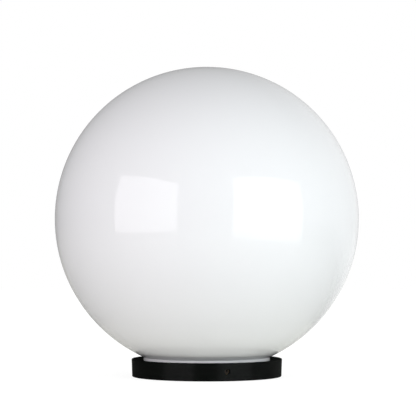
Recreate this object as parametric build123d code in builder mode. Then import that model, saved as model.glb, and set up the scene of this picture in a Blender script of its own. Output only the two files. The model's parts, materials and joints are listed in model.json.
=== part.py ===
from build123d import *

import os
from math import cos, pi, radians, sin, sqrt, tan

# Post top light: an opal globe whose neck stands in a black gallery base.
# The base slips over a round post, and carries a lampholder and a lamp inside the globe.
# Millimetres, +Z up, with the origin on the axis at the foot of the base. The front faces -Y.

# Fits
running_fit = 0.05  # radial, where a screw travels in its thread
seat_fit = 0.1  # radial, where one fixed piece sits inside another
touch_gap = 0.3  # between pieces that press on each other and can be moved apart
wall_bite = 1.0  # how far ribs and bosses run into the walls that they join

# Globe
globe_diameter = 300.0
globe_wall = 3.0
neck_diameter = 125.0
neck_length = 12.65
neck_blend = 0.8  # outside radius where the neck leaves the sphere
neck_edge_round = 0.8  # on the neck's lower edges

# Gallery base
base_wall = 3.0
floor_rise = 1.5  # underside of the pan's floor above the foot
gasket_thickness = 2.0
gallery_clearance = 1.5  # between the neck and the rim
neck_exposed = 1.5  # neck that shows above the rim's crest
rim_width = 10.4
rim_draft = 0.6  # how much smaller the foot's radius is than the crest's
rim_dish = 1.2  # fall of the rim's top from its crest to its inner lip
rim_crest_round = 0.8
rim_lip_round = 0.8
foot_round = 0.8
spigot_clearance = 1.2  # between the spigot and the inside of the neck
spigot_wall = 3.0
spigot_height = 19.05
spigot_round = 1.0
channel_rib_count = 24
channel_rib_thickness = 2.0

# Post socket
post_diameter = 60.3
post_clearance = 0.35  # radial
socket_wall = 4.0
socket_depth = 45.0
socket_lead_in = 1.0  # chamfer at the socket's mouth
socket_root_round = 2.0
deck_thickness = 4.0
deck_edge_round = 1.5
gusset_count = 6
gusset_bearing = 30.0  # degrees from +X
gusset_thickness = 3.0
gusset_height = 24.0
gusset_toe = 2.0  # height of a gusset's outer end
gusset_to_neck = 11.0  # room between a gusset and the inside of the neck

# Grub screws that hold the globe's neck
globe_screw_count = 3
globe_screw_bearing = -74.5  # degrees from +X, which is 15.5 degrees right of the front
globe_screw_diameter = 5.0
globe_screw_length = 8.0
globe_screw_key = 2.5
globe_screw_rise = 2.8  # axis above the neck's lower face
globe_insert_length = 6.0
globe_boss_wall = 2.5

# Grub screws that grip the post
post_screw_count = 3
post_screw_bearing = 0.0
post_screw_diameter = 6.0
post_screw_length = 12.0
post_screw_key = 3.0
post_screw_rise = 22.0  # axis above the pan's floor
post_insert_length = 6.0
post_boss_wall = 2.5
insert_wall = 1.0
grub_chamfer = 0.5
key_depth = 2.5

# Cable grommet
cable_diameter = 8.0
grommet_y = 17.0
grommet_wall = 2.0
grommet_flange = 3.0  # how far the flange stands out past the body
grommet_flange_thickness = 2.0
grommet_boot_height = 8.0
grommet_boot_taper = 0.8

# Bridge bracket
bracket_thickness = 1.5
bracket_width = 20.0
bracket_height = 16.0
bracket_bend_radius = 1.0  # inside
bracket_screw_inset = 9.5  # from the socket's outside to a fixing screw
bracket_leg_setback = 8.0  # from a fixing screw to the leg's outer face
bracket_foot_margin = 6.0  # foot past a fixing screw
bracket_boss_height = 4.0
bracket_boss_wall = 2.4
bracket_screw_diameter = 4.0
bracket_screw_length = 9.0
bracket_head_diameter = 8.0
bracket_head_height = 2.6
washer_diameter = 9.0
washer_thickness = 0.8
screw_tip_room = 0.5  # empty thread past a screw's end
slot_width = 1.0
slot_depth = 1.0

# Lampholder
nipple_diameter = 10.0
nipple_wall = 1.25
nipple_tail = 1.5  # below the locknut
nipple_proud = 1.0  # above the dome's floor
locknut_flats = 14.0
locknut_thickness = 3.0
holder_diameter = 40.0
dome_boss_diameter = 16.0
dome_boss_height = 3.0
dome_floor = 5.0
dome_cone_height = 10.0
dome_skirt_height = 7.0
dome_wall = 2.0
dome_spigot_height = 5.0
shell_wall = 2.5
shell_collar_height = 10.0
shell_taper_height = 3.0
shell_lip_wall = 3.4
shell_height = 31.0
core_thickness = 12.0
core_proud = 1.0  # core above the dome's spigot, so that the shell clamps it
core_seat_width = 2.0
core_seat_thickness = 1.5
screw_shell_wall = 0.5
screw_shell_height = 20.0
screw_shell_flange = 4.0
contact_thickness = 0.6
contact_width = 6.0
contact_half_length = 6.5
contact_height = 3.2

# Lamp
lamp_cap_diameter = 26.4
lamp_cap_clearance = 0.3  # radial, in the screw shell
lamp_cap_wall = 0.5
lamp_cap_pitch = 3.6
lamp_cap_thread_depth = 0.8
lamp_cap_turns = 5
lamp_tip_diameter = 9.0
lamp_tip_height = 1.2
lamp_tip_round = 0.5
lamp_insulator_height = 3.8
lamp_housing_tail = 14.0  # inside the cap
lamp_housing_height = 38.0
lamp_housing_wall = 2.0
lamp_bulb_diameter = 60.0
lamp_bulb_wall = 1.5
lamp_bulb_rim_diameter = 57.0
board_thickness = 1.6
board_ledge = 2.0
chip_size = 3.0
chip_height = 0.7
chip_ring_radii = (9.0, 17.0)
chip_ring_counts = (6, 12)

# Terminal block and wires
pole_pitch = 11.0
tower_width = 6.0
block_end_margin = 1.0
block_width = 11.0
block_height = 13.0
block_valley_height = 8.0
block_to_bracket = 8.0
sleeve_height = 5.0  # sleeve axis above the deck
sleeve_diameter = 5.0
sleeve_wall = 0.9
sleeve_inset = 1.0
terminal_screw_diameter = 3.0
terminal_screw_spacing = 5.0
terminal_screw_sink = 1.0  # screw head below the tower's top
block_screw_diameter = 2.5
block_screw_length = 10.0
block_head_diameter = 4.6
block_head_height = 1.8
wire_diameter = 2.2
wire_clearance = 0.2
wire_insertion = 4.0  # into a terminal sleeve
wire_core_insertion = 2.5
wire_spread = 7.0  # each side of the axis, in the core
wire_drop = 6.0  # bend below the nipple
nipple_wire_spacing = 3.8

# Earth point on the bracket's right leg
earth_screw_diameter = 4.0
earth_screw_rise = 8.0  # axis above the feet
earth_head_diameter = 7.0
earth_head_height = 2.4
earth_nut_flats = 7.0
earth_nut_thickness = 3.2
earth_screw_end = 0.5  # past the nut
earth_lug_thickness = 0.8
earth_lug_rim = 2.1
earth_barrel_length = 5.0
earth_barrel_wall = 0.7

# Radii and heights that follow from the sizes above
globe_radius = globe_diameter / 2
neck_radius = neck_diameter / 2
neck_inner_radius = neck_radius - globe_wall
gallery_radius = neck_radius + gallery_clearance
rim_radius = gallery_radius + rim_width
foot_radius = rim_radius - rim_draft
spigot_outer = neck_inner_radius - spigot_clearance
spigot_inner = spigot_outer - spigot_wall
floor_top = floor_rise + base_wall
neck_foot = floor_top + gasket_thickness
neck_top = neck_foot + neck_length
rim_top = neck_top - neck_exposed
lip_top = rim_top - rim_dish
spigot_top = floor_top + spigot_height
globe_centre = neck_top + sqrt(globe_radius**2 - neck_radius**2)

bore_radius = post_diameter / 2 + post_clearance
socket_radius = bore_radius + socket_wall
deck_underside = floor_rise + socket_depth
deck_top = deck_underside + deck_thickness
gusset_radius = neck_inner_radius - gusset_to_neck

globe_screw_height = neck_foot + globe_screw_rise
globe_screw_tip = neck_radius + touch_gap
globe_insert_radius = globe_screw_diameter / 2 + running_fit + insert_wall
post_screw_height = floor_top + post_screw_rise
post_screw_tip = bore_radius + touch_gap
post_insert_radius = post_screw_diameter / 2 + running_fit + insert_wall
post_boss_radius = post_insert_radius + post_boss_wall

bracket_screw_x = socket_radius - bracket_screw_inset
leg_outer = bracket_screw_x - bracket_leg_setback
leg_inner = leg_outer - bracket_thickness
foot_end = bracket_screw_x + bracket_foot_margin
bracket_foot = deck_top + bracket_boss_height
bracket_top = bracket_foot + bracket_height
bracket_underside = bracket_top - bracket_thickness
bracket_screw_radius = bracket_screw_diameter / 2

nipple_radius = nipple_diameter / 2
nipple_bore_radius = nipple_radius - nipple_wall
nipple_foot = bracket_underside - locknut_thickness - nipple_tail
nipple_top = bracket_top + dome_floor + nipple_proud
holder_radius = holder_diameter / 2
dome_top = bracket_top + dome_boss_height + dome_cone_height + dome_skirt_height
dome_spigot_radius = holder_radius - shell_wall - seat_fit
core_radius = dome_spigot_radius - dome_wall - seat_fit
core_top = dome_top + dome_spigot_height + core_proud
core_foot = core_top - core_thickness
lamp_cap_radius = lamp_cap_diameter / 2
screw_shell_bore = lamp_cap_radius + lamp_cap_clearance
screw_shell_radius = screw_shell_bore + screw_shell_wall
shell_bore = screw_shell_radius + seat_fit
shell_lip_radius = shell_bore + shell_lip_wall

lamp_foot = core_top + contact_height + touch_gap
lamp_insulator_foot = lamp_foot + lamp_tip_height
lamp_cap_foot = lamp_insulator_foot + lamp_insulator_height
lamp_cap_root = lamp_cap_radius - lamp_cap_thread_depth
lamp_cap_bore = lamp_cap_root - lamp_cap_wall
lamp_cap_top = lamp_cap_foot + lamp_cap_turns * lamp_cap_pitch
lamp_housing_top = lamp_cap_top + lamp_housing_height
lamp_rim_radius = lamp_bulb_rim_diameter / 2
lamp_bulb_radius = lamp_bulb_diameter / 2
lamp_bulb_inner = lamp_bulb_radius - lamp_bulb_wall
lamp_bulb_centre = lamp_housing_top + sqrt(lamp_bulb_radius**2 - lamp_rim_radius**2)
board_radius = lamp_rim_radius - lamp_housing_wall - seat_fit
board_foot = lamp_housing_top - board_thickness

block_y = -(bracket_width / 2 + block_to_bracket + block_width / 2)
block_face_y = block_y + block_width / 2
block_length = 2 * pole_pitch + tower_width + 2 * block_end_margin
pole_xs = [-pole_pitch, 0.0, pole_pitch]
sleeve_z = deck_top + sleeve_height
sleeve_radius = sleeve_diameter / 2
sleeve_bore = sleeve_radius - sleeve_wall
terminal_screw_radius = terminal_screw_diameter / 2
block_screw_radius = block_screw_diameter / 2
wire_radius = wire_diameter / 2

earth_screw_radius = earth_screw_diameter / 2
earth_z = bracket_foot + earth_screw_rise
earth_lug_radius = earth_screw_radius + earth_lug_rim
earth_barrel_bore = wire_radius + wire_clearance
earth_barrel_radius = earth_barrel_bore + earth_barrel_wall
earth_barrel_x = leg_inner - earth_barrel_radius
earth_barrel_mouth = -(earth_lug_radius + earth_barrel_length)

pieces = {}


def radial_plane(bearing, radius, height):
    """A plane that faces outwards from the axis, at a bearing in degrees from +X."""
    c, s = cos(radians(bearing)), sin(radians(bearing))
    return Plane(origin=(radius * c, radius * s, height), x_dir=(-s, c, 0), z_dir=(c, s, 0))


def upright_plane(bearing):
    """A plane through the axis, with its x outwards and its y up."""
    c, s = cos(radians(bearing)), sin(radians(bearing))
    return Plane(origin=(0, 0, 0), x_dir=(c, s, 0), z_dir=(s, -c, 0))


def bearings(count, first):
    """Evenly spaced bearings round the axis."""
    return [first + 360 / count * n for n in range(count)]


def grub_screw(plane, diameter, length, key):
    """A grub screw with its flat tip on the plane and its key socket at the far end."""
    with BuildPart() as screw:
        with BuildSketch(plane):
            Circle(diameter / 2)
        extrude(amount=length)
        chamfer(screw.edges().filter_by(GeomType.CIRCLE), grub_chamfer)
        with BuildSketch(plane.offset(length)):
            RegularPolygon(key / 2, 6, major_radius=False)
        extrude(amount=-key_depth, mode=Mode.SUBTRACT)
    return screw.part


def threaded_inserts(planes, screw_diameter, radius, length):
    """Brass sleeves, one on each plane, that the grub screws run in."""
    with BuildPart() as inserts:
        for plane in planes:
            with BuildSketch(plane):
                Circle(radius)
                Circle(screw_diameter / 2 + running_fit, mode=Mode.SUBTRACT)
            extrude(amount=length)
    return inserts.part


def slotted_screw(plane, diameter, length, head_diameter, head_height):
    """A slotted screw with the underside of its head on the plane and its shank below."""
    with BuildPart() as screw:
        with BuildSketch(plane):
            Circle(head_diameter / 2)
        extrude(amount=head_height)
        fillet(screw.edges().filter_by(GeomType.CIRCLE).sort_by(Axis(plane.origin, plane.z_dir))[-1],
               head_height / 3)
        with BuildSketch(plane):
            Circle(diameter / 2)
        extrude(amount=-length)
        with BuildSketch(plane.offset(head_height)):
            Rectangle(head_diameter, slot_width)
        extrude(amount=-slot_depth, mode=Mode.SUBTRACT)
    return screw.part


def wire(points):
    """An insulated wire along straight runs, joined by arcs as large as the runs allow."""
    corners = [Vector(*p) for p in points]
    radii = []
    for before, corner, after in zip(corners, corners[1:], corners[2:]):
        turn = (corner - before).get_angle(after - corner)
        shorter = min((corner - before).length, (after - corner).length)
        radii.append(0.45 * shorter / tan(radians(turn / 2)))
    print("wire bend radii", [round(r, 1) for r in radii])
    with BuildPart() as tube:
        with BuildLine() as route:
            FilletPolyline(*corners, radius=radii)
        with BuildSketch(Plane(origin=route.line @ 0, z_dir=route.line % 0)):
            Circle(wire_radius)
        sweep()
    swept = pi * wire_radius**2 * sum(edge.length for edge in route.edges())
    print("wire volume over section times length", round(tube.part.volume / swept, 4))
    return tube.part


# Globe: sphere and neck, one wall all round
inner_radius = globe_radius - globe_wall
inner_neck_top = globe_centre - sqrt(inner_radius**2 - neck_inner_radius**2)
with BuildPart() as opal_globe:
    with BuildSketch(Plane.XZ) as globe_section:
        with BuildLine():
            ThreePointArc((0, globe_centre + globe_radius), (globe_radius, globe_centre),
                          (neck_radius, neck_top))
            Polyline((neck_radius, neck_top), (neck_radius, neck_foot),
                     (neck_inner_radius, neck_foot), (neck_inner_radius, inner_neck_top))
            ThreePointArc((neck_inner_radius, inner_neck_top), (inner_radius, globe_centre),
                          (0, globe_centre + inner_radius))
            Line((0, globe_centre + inner_radius), (0, globe_centre + globe_radius))
        make_face()
        fillet(globe_section.vertices().sort_by_distance((neck_radius, neck_top))[0], neck_blend)
        fillet(globe_section.vertices().group_by(Axis.Y)[0], neck_edge_round)
    revolve(axis=Axis.Z)
pieces["opal_globe"] = opal_globe.part

# Gallery base: rim, pan, spigot, post socket and deck in one moulding
channel_inner = gallery_radius + base_wall
channel_outer = rim_radius - base_wall
channel_middle = (channel_inner + channel_outer) / 2
channel_span = channel_outer - channel_inner + 2 * wall_bite
channel_height = rim_top - base_wall + wall_bite - floor_rise
with BuildPart() as gallery_base:
    with BuildSketch(Plane.XZ) as base_section:
        with BuildLine():
            Polyline((0, deck_underside), (bore_radius, deck_underside), (bore_radius, floor_rise),
                     (channel_inner, floor_rise), (channel_inner, lip_top - base_wall),
                     (channel_outer, rim_top - base_wall), (foot_radius - base_wall, 0),
                     (foot_radius, 0), (rim_radius, rim_top), (gallery_radius, lip_top),
                     (gallery_radius, floor_top), (spigot_outer, floor_top),
                     (spigot_outer, spigot_top), (spigot_inner, spigot_top),
                     (spigot_inner, floor_top), (socket_radius, floor_top),
                     (socket_radius, deck_top), (0, deck_top), close=True)
        make_face()
        for corner, rounding in (((rim_radius, rim_top), rim_crest_round),
                                 ((gallery_radius, lip_top), rim_lip_round),
                                 ((foot_radius, 0), foot_round),
                                 ((spigot_outer, spigot_top), spigot_round),
                                 ((spigot_inner, spigot_top), spigot_round),
                                 ((socket_radius, floor_top), socket_root_round),
                                 ((socket_radius, deck_top), deck_edge_round)):
            fillet(base_section.vertices().sort_by_distance(corner)[0], rounding)
        chamfer(base_section.vertices().sort_by_distance((bore_radius, floor_rise))[0], socket_lead_in)
    revolve(axis=Axis.Z)
    # Ribs and screw bosses in the rim's channel
    with BuildSketch(Plane.XY.offset(floor_rise)):
        with PolarLocations(channel_middle, channel_rib_count, start_angle=globe_screw_bearing):
            Rectangle(channel_span, channel_rib_thickness)
        with PolarLocations(channel_middle, globe_screw_count, start_angle=globe_screw_bearing):
            Rectangle(channel_span, 2 * (globe_insert_radius + globe_boss_wall))
    extrude(amount=channel_height)
    # Gussets between the socket and the pan
    for bearing in bearings(gusset_count, gusset_bearing):
        with BuildSketch(upright_plane(bearing)):
            with BuildLine():
                Polyline((socket_radius - wall_bite, floor_top - wall_bite),
                         (gusset_radius, floor_top - wall_bite),
                         (gusset_radius, floor_top + gusset_toe),
                         (socket_radius - wall_bite, floor_top + gusset_height), close=True)
            make_face()
        extrude(amount=gusset_thickness / 2, both=True)
    # Bosses on the socket for the post's screws, and on the deck for the bracket's
    for bearing in bearings(post_screw_count, post_screw_bearing):
        with BuildSketch(radial_plane(bearing, socket_radius - wall_bite, post_screw_height)):
            Circle(post_boss_radius)
        extrude(amount=wall_bite + post_insert_length + seat_fit)
    with BuildSketch(Plane.XY.offset(deck_top - wall_bite)):
        with Locations((bracket_screw_x, 0), (-bracket_screw_x, 0)):
            Circle(bracket_screw_radius + running_fit + bracket_boss_wall)
    extrude(amount=wall_bite + bracket_boss_height)
    # Stepped holes for the globe's screws and their inserts
    for bearing in bearings(globe_screw_count, globe_screw_bearing):
        with BuildSketch(radial_plane(bearing, neck_radius, globe_screw_height)):
            Circle(globe_insert_radius + seat_fit)
        extrude(amount=gallery_clearance + touch_gap + globe_insert_length, mode=Mode.SUBTRACT)
        with BuildSketch(radial_plane(bearing, gallery_radius, globe_screw_height)):
            Circle(globe_screw_diameter / 2 + seat_fit)
        extrude(amount=rim_width + wall_bite, mode=Mode.SUBTRACT)
    # Stepped holes for the post's screws and their inserts
    for bearing in bearings(post_screw_count, post_screw_bearing):
        with BuildSketch(radial_plane(bearing, bore_radius - wall_bite, post_screw_height)):
            Circle(post_screw_diameter / 2 + seat_fit)
        extrude(amount=wall_bite + socket_wall, mode=Mode.SUBTRACT)
        with BuildSketch(radial_plane(bearing, socket_radius, post_screw_height)):
            Circle(post_insert_radius + seat_fit)
        extrude(amount=post_insert_length + wall_bite, mode=Mode.SUBTRACT)
    # Holes in the deck: the grommet, and pilots for the bracket and the terminal block
    with Locations((0, grommet_y, deck_top)):
        Hole(cable_diameter / 2 + grommet_wall + seat_fit, deck_thickness)
    with Locations((bracket_screw_x, 0, bracket_foot), (-bracket_screw_x, 0, bracket_foot)):
        Hole(bracket_screw_radius + running_fit,
             bracket_screw_length - washer_thickness - bracket_thickness + screw_tip_room)
    with Locations((pole_pitch / 2, block_y, deck_top), (-pole_pitch / 2, block_y, deck_top)):
        Hole(block_screw_radius + running_fit, block_screw_length - block_valley_height + screw_tip_room)
pieces["gallery_base"] = gallery_base.part

# Gasket: a flat rubber ring between the pan's floor and the neck
with BuildPart() as neck_gasket:
    with BuildSketch(Plane.XY.offset(floor_top)):
        Circle(gallery_radius - touch_gap)
        Circle(spigot_outer + touch_gap, mode=Mode.SUBTRACT)
    extrude(amount=gasket_thickness)
pieces["neck_gasket"] = neck_gasket.part

# Grub screws and inserts
for number, bearing in enumerate(bearings(globe_screw_count, globe_screw_bearing), start=1):
    pieces[f"globe_screw_{number}"] = grub_screw(
        radial_plane(bearing, globe_screw_tip, globe_screw_height),
        globe_screw_diameter, globe_screw_length, globe_screw_key)
pieces["globe_screw_inserts"] = threaded_inserts(
    [radial_plane(b, gallery_radius + touch_gap, globe_screw_height)
     for b in bearings(globe_screw_count, globe_screw_bearing)],
    globe_screw_diameter, globe_insert_radius, globe_insert_length)
for number, bearing in enumerate(bearings(post_screw_count, post_screw_bearing), start=1):
    pieces[f"post_screw_{number}"] = grub_screw(
        radial_plane(bearing, post_screw_tip, post_screw_height),
        post_screw_diameter, post_screw_length, post_screw_key)
pieces["post_screw_inserts"] = threaded_inserts(
    [radial_plane(b, socket_radius + seat_fit, post_screw_height)
     for b in bearings(post_screw_count, post_screw_bearing)],
    post_screw_diameter, post_insert_radius, post_insert_length)

# Cable grommet: plugged into the deck, with a flange and a tapered boot above
grommet_bore = cable_diameter / 2
grommet_radius = grommet_bore + grommet_wall
grommet_boot_foot = deck_top + grommet_flange_thickness
with BuildPart() as cable_grommet:
    with BuildSketch(Plane.XZ.offset(-grommet_y)):
        with BuildLine():
            Polyline((grommet_bore, deck_underside), (grommet_radius, deck_underside),
                     (grommet_radius, deck_top), (grommet_radius + grommet_flange, deck_top),
                     (grommet_radius + grommet_flange, grommet_boot_foot),
                     (grommet_radius, grommet_boot_foot),
                     (grommet_radius - grommet_boot_taper, grommet_boot_foot + grommet_boot_height),
                     (grommet_bore, grommet_boot_foot + grommet_boot_height), close=True)
        make_face()
    revolve(axis=Axis((0, grommet_y, 0), (0, 0, 1)))
pieces["cable_grommet"] = cable_grommet.part

# Bridge bracket: one bent steel strip on two bosses
bend_outside = bracket_bend_radius + bracket_thickness
foot_top = bracket_foot + bracket_thickness
with BuildPart() as lamp_bracket:
    with BuildSketch(Plane.XZ) as bridge:
        with BuildLine():
            Polyline((foot_end, bracket_foot), (foot_end, foot_top), (leg_outer, foot_top),
                     (leg_outer, bracket_top), (-leg_outer, bracket_top), (-leg_outer, foot_top),
                     (-foot_end, foot_top), (-foot_end, bracket_foot), (-leg_inner, bracket_foot),
                     (-leg_inner, bracket_underside), (leg_inner, bracket_underside),
                     (leg_inner, bracket_foot), close=True)
        make_face()
        for side in (1, -1):
            for corner, rounding in (((side * leg_outer, bracket_top), bend_outside),
                                     ((side * leg_inner, bracket_underside), bracket_bend_radius),
                                     ((side * leg_outer, foot_top), bracket_bend_radius),
                                     ((side * leg_inner, bracket_foot), bend_outside)):
                fillet(bridge.vertices().sort_by_distance(corner)[0], rounding)
    extrude(amount=bracket_width / 2, both=True)
    with Locations((0, 0, bracket_top)):
        Hole(nipple_radius + seat_fit, bracket_thickness)
    with Locations((bracket_screw_x, 0, foot_top), (-bracket_screw_x, 0, foot_top)):
        Hole(bracket_screw_radius + seat_fit, bracket_thickness)
    with BuildSketch(Plane.YZ.offset(leg_inner)):
        with Locations((0, earth_z)):
            Circle(earth_screw_radius + seat_fit)
    extrude(amount=bracket_thickness, mode=Mode.SUBTRACT)
pieces["lamp_bracket"] = lamp_bracket.part

with BuildPart() as bracket_washers:
    with BuildSketch(Plane.XY.offset(foot_top)):
        with Locations((bracket_screw_x, 0), (-bracket_screw_x, 0)):
            Circle(washer_diameter / 2)
            Circle(bracket_screw_radius + seat_fit, mode=Mode.SUBTRACT)
    extrude(amount=washer_thickness)
pieces["bracket_washers"] = bracket_washers.part

pieces["bracket_screws"] = Compound(children=[
    slotted_screw(Plane((x, 0, foot_top + washer_thickness)), bracket_screw_diameter,
                  bracket_screw_length, bracket_head_diameter, bracket_head_height)
    for x in (bracket_screw_x, -bracket_screw_x)])

# Nipple and locknut: the threaded tube that holds the lampholder on the bridge
with BuildPart() as holder_nipple:
    with BuildSketch(Plane.XY.offset(nipple_foot)):
        Circle(nipple_radius)
        Circle(nipple_bore_radius, mode=Mode.SUBTRACT)
    extrude(amount=nipple_top - nipple_foot)
pieces["holder_nipple"] = holder_nipple.part

with BuildPart() as nipple_locknut:
    with BuildSketch(Plane.XY.offset(bracket_underside - locknut_thickness)):
        RegularPolygon(locknut_flats / 2, 6, major_radius=False)
        Circle(nipple_radius + running_fit, mode=Mode.SUBTRACT)
    extrude(amount=locknut_thickness)
pieces["nipple_locknut"] = nipple_locknut.part

# Lampholder dome: the lower cover, screwed on the nipple
dome_boss_radius = dome_boss_diameter / 2
dome_seat_radius = core_radius + seat_fit
dome_ledge_radius = dome_seat_radius - core_seat_width
dome_cone_foot = bracket_top + dome_boss_height
with BuildPart() as holder_dome:
    with BuildSketch(Plane.XZ):
        with BuildLine():
            Polyline((nipple_radius + running_fit, bracket_top), (dome_boss_radius, bracket_top),
                     (dome_boss_radius, dome_cone_foot), (holder_radius, dome_cone_foot + dome_cone_height),
                     (holder_radius, dome_top), (dome_spigot_radius, dome_top),
                     (dome_spigot_radius, dome_top + dome_spigot_height),
                     (dome_seat_radius, dome_top + dome_spigot_height),
                     (dome_seat_radius, core_foot), (dome_ledge_radius, core_foot),
                     (dome_ledge_radius, core_foot - core_seat_thickness),
                     (nipple_radius + nipple_wall, bracket_top + dome_floor),
                     (nipple_radius + running_fit, bracket_top + dome_floor), close=True)
        make_face()
    revolve(axis=Axis.Z)
pieces["holder_dome"] = holder_dome.part

# Lampholder core: the insulator that carries the contacts and takes the wires
with BuildPart() as holder_core:
    with BuildSketch(Plane.XY.offset(core_foot)):
        Circle(core_radius)
    extrude(amount=core_thickness)
    with BuildSketch(Plane.XY.offset(core_foot)):
        with Locations((wire_spread, 0), (-wire_spread, 0)):
            Circle(wire_radius + wire_clearance)
    extrude(amount=wire_core_insertion + wire_clearance, mode=Mode.SUBTRACT)
pieces["holder_core"] = holder_core.part

# Lampholder shell: the upper cover, which clamps the core
with BuildPart() as holder_shell:
    with BuildSketch(Plane.XZ):
        with BuildLine():
            Polyline((dome_spigot_radius + seat_fit, dome_top), (holder_radius, dome_top),
                     (holder_radius, dome_top + shell_collar_height),
                     (shell_lip_radius, dome_top + shell_collar_height + shell_taper_height),
                     (shell_lip_radius, dome_top + shell_height), (shell_bore, dome_top + shell_height),
                     (shell_bore, core_top), (dome_spigot_radius + seat_fit, core_top), close=True)
        make_face()
    revolve(axis=Axis.Z)
pieces["holder_shell"] = holder_shell.part

# Screw shell: the sleeve that the lamp's cap screws into
with BuildPart() as holder_screw_shell:
    with BuildSketch(Plane.XZ):
        with BuildLine():
            Polyline((screw_shell_bore - screw_shell_flange, core_top), (screw_shell_radius, core_top),
                     (screw_shell_radius, core_top + screw_shell_height),
                     (screw_shell_bore, core_top + screw_shell_height),
                     (screw_shell_bore, core_top + screw_shell_wall),
                     (screw_shell_bore - screw_shell_flange, core_top + screw_shell_wall), close=True)
        make_face()
    revolve(axis=Axis.Z)
pieces["holder_screw_shell"] = holder_screw_shell.part

# Centre contact: a folded spring strip under the lamp's tip
contact_middle = contact_thickness / 2
with BuildPart() as holder_centre_contact:
    with BuildSketch(Plane.XZ):
        with BuildLine():
            Polyline((-contact_half_length, core_top + contact_middle),
                     (contact_half_length, core_top + contact_middle),
                     (contact_half_length - contact_thickness, core_top + contact_height / 2),
                     (-contact_half_length / 2, core_top + contact_height - contact_middle))
        trace(line_width=contact_thickness)
    extrude(amount=contact_width / 2, both=True)
pieces["holder_centre_contact"] = holder_centre_contact.part

# Terminal block: three towers on one strip
block_screw_xs = (pole_pitch / 2, -pole_pitch / 2)
with BuildPart() as terminal_block:
    with BuildSketch(Plane.XY.offset(deck_top)):
        with Locations((0, block_y)):
            Rectangle(block_length, block_width)
    extrude(amount=block_valley_height)
    with BuildSketch(Plane.XY.offset(deck_top)):
        with Locations(*[(x, block_y) for x in pole_xs]):
            Rectangle(tower_width, block_width)
    extrude(amount=block_height)
    with BuildSketch(Plane.XZ.offset(-block_face_y)):
        with Locations(*[(x, sleeve_z) for x in pole_xs]):
            Circle(sleeve_radius + seat_fit)
    extrude(amount=block_width, mode=Mode.SUBTRACT)
    with Locations(*[(x, block_y + side * terminal_screw_spacing / 2, deck_top + block_height)
                     for x in pole_xs for side in (1, -1)]):
        Hole(terminal_screw_radius + seat_fit, block_height - sleeve_height)
    with Locations(*[(x, block_y, deck_top + block_valley_height) for x in block_screw_xs]):
        Hole(block_screw_radius + seat_fit, block_valley_height)
pieces["terminal_block"] = terminal_block.part

with BuildPart() as terminal_sleeves:
    with BuildSketch(Plane.XZ.offset(-block_face_y + sleeve_inset)):
        with Locations(*[(x, sleeve_z) for x in pole_xs]):
            Circle(sleeve_radius)
            Circle(sleeve_bore, mode=Mode.SUBTRACT)
    extrude(amount=block_width - 2 * sleeve_inset)
    with Locations(*[(x, block_y + side * terminal_screw_spacing / 2, sleeve_z + sleeve_diameter)
                     for x in pole_xs for side in (1, -1)]):
        Hole(terminal_screw_radius + running_fit, sleeve_diameter)
pieces["terminal_sleeves"] = terminal_sleeves.part

terminal_screw_foot = sleeve_z + wire_radius + wire_clearance
terminal_screw_length = deck_top + block_height - terminal_screw_sink - terminal_screw_foot
with BuildPart() as terminal_screws:
    with BuildSketch(Plane.XY.offset(terminal_screw_foot)):
        with Locations(*[(x, block_y + side * terminal_screw_spacing / 2)
                         for x in pole_xs for side in (1, -1)]):
            Circle(terminal_screw_radius)
    extrude(amount=terminal_screw_length)
    with BuildSketch(Plane.XY.offset(terminal_screw_foot + terminal_screw_length)):
        with Locations(*[(x, block_y + side * terminal_screw_spacing / 2)
                         for x in pole_xs for side in (1, -1)]):
            Rectangle(terminal_screw_diameter, slot_width)
    extrude(amount=-slot_depth, mode=Mode.SUBTRACT)
pieces["terminal_screws"] = terminal_screws.part

pieces["terminal_block_screws"] = Compound(children=[
    slotted_screw(Plane((x, block_y, deck_top + block_valley_height)), block_screw_diameter,
                  block_screw_length, block_head_diameter, block_head_height)
    for x in block_screw_xs])

# Earth point: a ring lug, a screw and a nut on the bracket's right leg
earth_strap = earth_lug_radius + earth_barrel_length / 2
with BuildPart() as earth_lug:
    with BuildSketch(Plane.YZ.offset(leg_inner - earth_lug_thickness)):
        with Locations((0, earth_z)):
            Circle(earth_lug_radius)
        with Locations((-earth_strap / 2, earth_z)):
            Rectangle(earth_strap, 2 * earth_barrel_radius)
        with Locations((0, earth_z)):
            Circle(earth_screw_radius + seat_fit, mode=Mode.SUBTRACT)
    extrude(amount=earth_lug_thickness)
    with BuildSketch(Plane.XZ.offset(earth_lug_radius)):
        with Locations((earth_barrel_x, earth_z)):
            Circle(earth_barrel_radius)
    extrude(amount=earth_barrel_length)
    with BuildSketch(Plane.XZ.offset(earth_lug_radius)):
        with Locations((earth_barrel_x, earth_z)):
            Circle(earth_barrel_bore)
    extrude(amount=earth_barrel_length, mode=Mode.SUBTRACT)
pieces["earth_lug"] = earth_lug.part

earth_grip = earth_lug_thickness + bracket_thickness + earth_nut_thickness
pieces["earth_screw"] = slotted_screw(
    Plane(origin=(leg_inner - earth_lug_thickness, 0, earth_z), x_dir=(0, 1, 0), z_dir=(-1, 0, 0)),
    earth_screw_diameter, earth_grip + earth_screw_end, earth_head_diameter, earth_head_height)

with BuildPart() as earth_nut:
    with BuildSketch(Plane.YZ.offset(leg_outer)):
        with Locations((0, earth_z)):
            RegularPolygon(earth_nut_flats / 2, 6, major_radius=False)
            Circle(earth_screw_radius + running_fit, mode=Mode.SUBTRACT)
    extrude(amount=earth_nut_thickness)
pieces["earth_nut"] = earth_nut.part

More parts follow.
